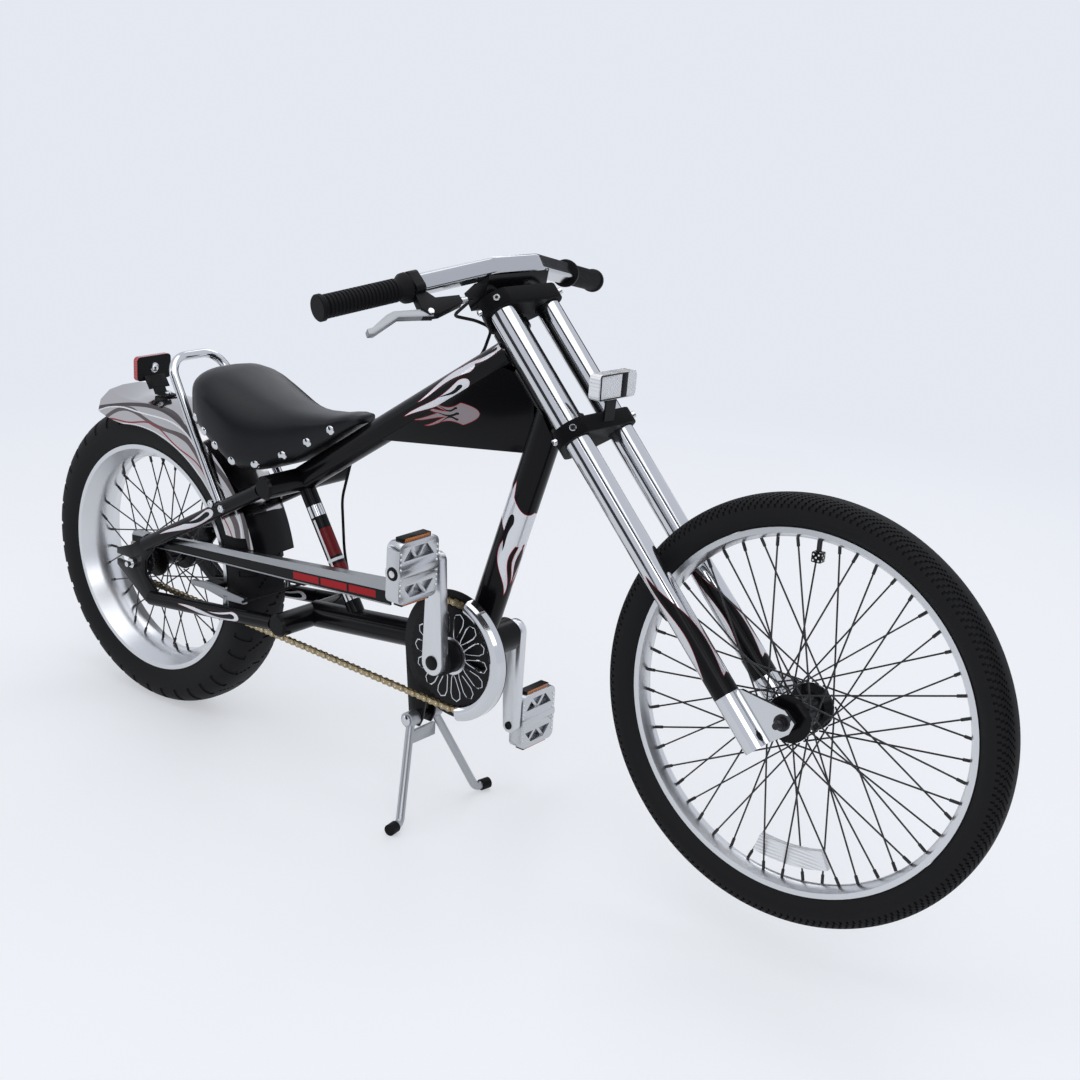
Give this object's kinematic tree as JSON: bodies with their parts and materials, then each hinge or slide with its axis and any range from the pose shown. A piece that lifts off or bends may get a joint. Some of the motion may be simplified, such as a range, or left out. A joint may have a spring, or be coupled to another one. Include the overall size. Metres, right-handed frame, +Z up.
{
  "type": "chopper bicycle",
  "caption": "Chopper bicycle with a long raked fork, a swept bar, a riveted saddle, a fat rear wheel, a chain drive and a fold-down stand.",
  "frame": {"origin": "on the floor, below the middle of the bicycle's length and in its middle plane, between the stand's feet", "axes": "+X forward, +Y to the rider's left, +Z up; the chain is on the right, at -Y"},
  "size_m": [1.9147, 0.6686, 0.9365],
  "materials": {
    "black_paint": "gloss",
    "chrome": "polished",
    "alloy": "satin",
    "dark_steel": "satin black",
    "gold_steel": "satin gold",
    "tyre": "matte",
    "rubber": "matte",
    "leather": "smooth",
    "red_plastic": "gloss",
    "white_plastic": "gloss"
  },
  "bodies": {
    "frame": {"head_tube": "black_paint", "top_tube": "black_paint", "down_tube": "black_paint", "bottom_tube": "black_paint", "bb_shell": "black_paint", "seat_strut": "black_paint", "tank_panel": "black_paint", "upper_yoke": "black_paint", "lower_yoke": "black_paint", "dropout_right": "black_paint", "dropout_left": "black_paint", "seat_stay_right": "black_paint", "seat_stay_left": "black_paint", "chain_stay_right": "black_paint", "chain_stay_left": "black_paint", "rear_axle": "chrome", "saddle": "leather", "sissy_bar": "chrome", "rear_fender": "chrome", "rear_reflector": "red_plastic", "chain": "gold_steel", "chain_guard": "alloy", "backing_plate": "black_paint", "crescent_guard": "chrome", "stand_bracket": "black_paint", "brake_arms": "alloy", "brake_cable": "rubber"},
    "front_end": {"lower_crown": "black_paint", "upper_crown": "black_paint", "fork_leg_right": "black_paint", "fork_leg_left": "black_paint", "fork_tip_right": "alloy", "fork_tip_left": "alloy", "front_axle": "chrome", "riser": "black_paint", "handlebar": "chrome", "grips": "rubber", "brake_lever": "alloy", "front_reflector": "white_plastic", "lever_cable": "rubber"},
    "front_wheel": {"front_tyre": "tyre", "front_rim": "alloy", "front_hub": "black_paint", "front_spokes": "dark_steel"},
    "rear_wheel": {"rear_tyre": "tyre", "rear_rim": "alloy", "rear_hub": "black_paint", "rear_spokes": "dark_steel", "rear_sprocket": "dark_steel"},
    "crank": {"chainring": "black_paint", "crank_right": "alloy", "crank_left": "alloy"},
    "pedal_right": {"pedal_right": "alloy"},
    "pedal_left": {"pedal_left": "alloy"},
    "stand": {"stand": "alloy", "stand_feet": "rubber"}
  },
  "joints": [
    {"name": "steering", "type": "hinge", "parent": "frame", "child": "front_end", "pos_m": [0.1689, 0, 0.76255], "axis": [-0.682, 0, 0.7314], "range_deg": [-43, 37]},
    {"name": "front_wheel_spin", "type": "hinge", "parent": "front_end", "child": "front_wheel", "pos_m": [0.65041, 0.00481, 0.38091], "axis": [-0.0383, 0.9986, -0.0357], "continuous": true},
    {"name": "rear_wheel_spin", "type": "hinge", "parent": "frame", "child": "rear_wheel", "pos_m": [-0.6775, 0, 0.28], "axis": [0, 1, 0], "continuous": true},
    {"name": "crank_spin", "type": "hinge", "parent": "frame", "child": "crank", "pos_m": [0.07056, 0, 0.312], "axis": [0, 1, 0], "continuous": true},
    {"name": "pedal_right_spin", "type": "hinge", "parent": "crank", "child": "pedal_right", "pos_m": [0.06624, -0.15, 0.47694], "axis": [0, 1, 0], "continuous": true},
    {"name": "pedal_left_spin", "type": "hinge", "parent": "crank", "child": "pedal_left", "pos_m": [0.07488, 0.15, 0.14706], "axis": [0, 1, 0], "continuous": true},
    {"name": "stand_fold", "type": "hinge", "parent": "frame", "child": "stand", "pos_m": [-0.03744, 0, 0.16], "axis": [0, 1, 0], "range_deg": [0, 100]}
  ]
}
